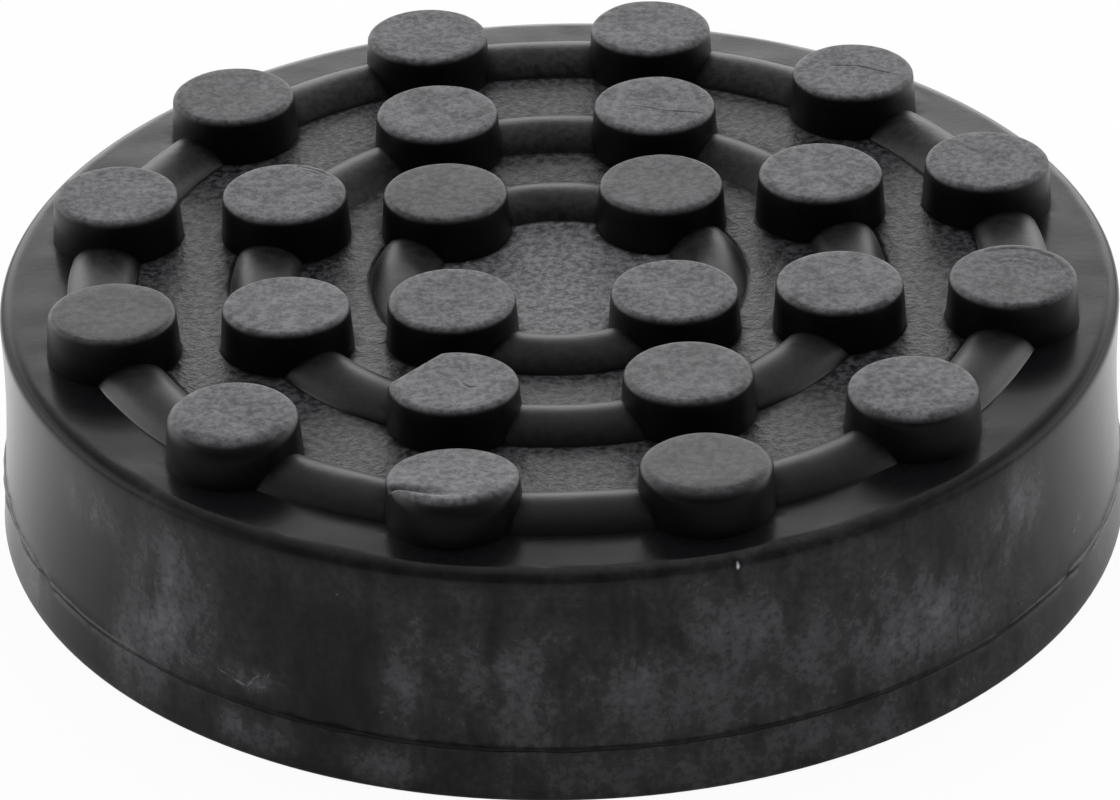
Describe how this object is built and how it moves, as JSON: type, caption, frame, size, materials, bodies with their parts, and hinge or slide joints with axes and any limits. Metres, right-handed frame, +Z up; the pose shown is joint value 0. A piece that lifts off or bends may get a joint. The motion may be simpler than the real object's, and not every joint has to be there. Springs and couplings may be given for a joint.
{
  "type": "lift arm rubber pad",
  "caption": "Thick round rubber pad for the end of a vehicle lift's arm, with rings of round studs on top joined by low beads.",
  "frame": {"origin": "centre of the flat underside", "axes": "+Z up out of the studded face; +X and +Y run through gaps between the studs of every ring"},
  "size_m": [0.12, 0.12, 0.031],
  "materials": {
    "black_rubber": "matt moulded black rubber, grainy on the top face, dusty and blotched on the wall"
  },
  "bodies": {
    "root": {"rubber_pad": "black_rubber"}
  },
  "joints": []
}
